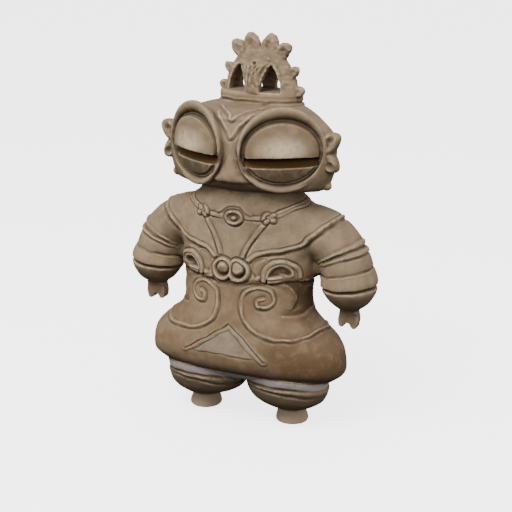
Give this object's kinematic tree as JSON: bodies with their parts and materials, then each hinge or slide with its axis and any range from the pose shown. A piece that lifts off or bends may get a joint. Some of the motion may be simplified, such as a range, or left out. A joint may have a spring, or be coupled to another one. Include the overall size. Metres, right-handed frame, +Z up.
{
  "type": "clay figure",
  "caption": "Standing hollow clay figure with large slit goggle eyes, an open crown, swollen limbs, a wide skirt and carved chest bands.",
  "frame": {"origin": "on the ground under the middle of the figure's bounding box", "axes": "+Z up to the crown, the face looks along -Y, +X is the figure's own left side"},
  "size_m": [0.2304, 0.0898, 0.335],
  "materials": {
    "fired_clay": "matt, mottled, dark in the grooves"
  },
  "bodies": {
    "root": {"dogu_figure": "fired_clay"}
  },
  "joints": []
}
